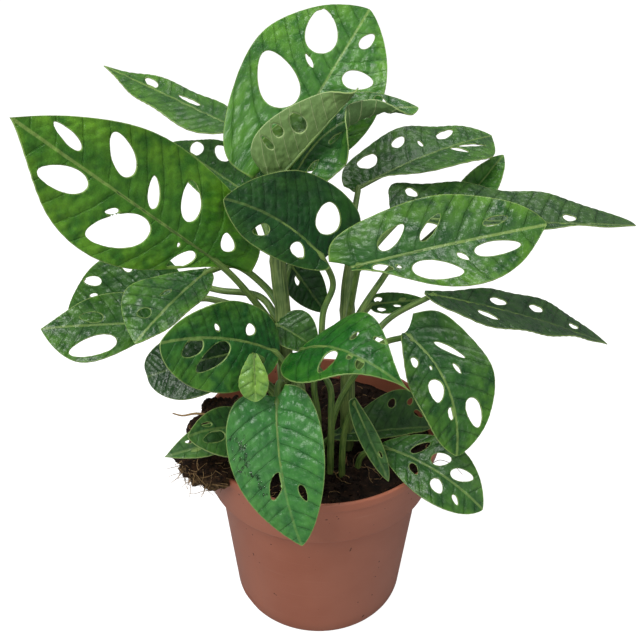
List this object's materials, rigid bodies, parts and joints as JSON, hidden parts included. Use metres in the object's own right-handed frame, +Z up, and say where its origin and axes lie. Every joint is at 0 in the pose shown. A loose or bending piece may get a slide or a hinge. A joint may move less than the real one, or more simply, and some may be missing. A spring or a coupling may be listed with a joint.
{
  "type": "potted plant",
  "caption": "Potted Monstera adansonii with long-pointed, holed, waved leaves on slender stalks, growing from soil in a tapered nursery pot with a collar.",
  "frame": {"origin": "middle of the pot's underside, on the ground", "axes": "+Z up; -Y towards the side the leaves mostly face"},
  "size_m": [0.2791, 0.1578, 0.291],
  "materials": {
    "pot": "satin",
    "soil": "rough",
    "root_clump": "rough",
    "stem_left": "satin",
    "stem_right": "satin",
    "stem_front": "satin",
    "leaf_left_large": "satin",
    "leaf_top": "satin",
    "leaf_top_furled": "satin",
    "leaf_top_folded": "satin",
    "leaf_upper_right": "satin",
    "leaf_small_right_tip": "satin",
    "leaf_upper_left": "satin",
    "leaf_back_left": "satin",
    "leaf_far_right": "satin",
    "leaf_right_large": "satin",
    "leaf_middle_dark": "satin",
    "leaf_middle_back": "satin",
    "leaf_small_right": "satin",
    "leaf_right_low": "satin",
    "leaf_right_drooping": "satin",
    "leaf_left_hanging": "satin",
    "leaf_left_far": "satin",
    "leaf_left_behind": "satin",
    "leaf_left_shaded": "satin",
    "leaf_left_glossy": "satin",
    "leaf_inner": "satin",
    "leaf_front_arching": "satin",
    "leaf_front_drooping": "satin",
    "leaf_young": "satin",
    "leaf_low_left": "satin",
    "leaf_low_left_small": "satin",
    "leaf_low_right": "satin",
    "leaf_low_right_inner": "satin",
    "leaf_narrow": "satin"
  },
  "bodies": {
    "root": {"pot": "pot", "soil": "soil", "root_clump": "root_clump", "stem_left": "stem_left", "stem_right": "stem_right", "stem_front": "stem_front", "leaf_left_large": "leaf_left_large", "leaf_top": "leaf_top", "leaf_top_furled": "leaf_top_furled", "leaf_top_folded": "leaf_top_folded", "leaf_upper_right": "leaf_upper_right", "leaf_small_right_tip": "leaf_small_right_tip", "leaf_upper_left": "leaf_upper_left", "leaf_back_left": "leaf_back_left", "leaf_far_right": "leaf_far_right", "leaf_right_large": "leaf_right_large", "leaf_middle_dark": "leaf_middle_dark", "leaf_middle_back": "leaf_middle_back", "leaf_small_right": "leaf_small_right", "leaf_right_low": "leaf_right_low", "leaf_right_drooping": "leaf_right_drooping", "leaf_left_hanging": "leaf_left_hanging", "leaf_left_far": "leaf_left_far", "leaf_left_behind": "leaf_left_behind", "leaf_left_shaded": "leaf_left_shaded", "leaf_left_glossy": "leaf_left_glossy", "leaf_inner": "leaf_inner", "leaf_front_arching": "leaf_front_arching", "leaf_front_drooping": "leaf_front_drooping", "leaf_young": "leaf_young", "leaf_low_left": "leaf_low_left", "leaf_low_left_small": "leaf_low_left_small", "leaf_low_right": "leaf_low_right", "leaf_low_right_inner": "leaf_low_right_inner", "leaf_narrow": "leaf_narrow"}
  },
  "joints": []
}
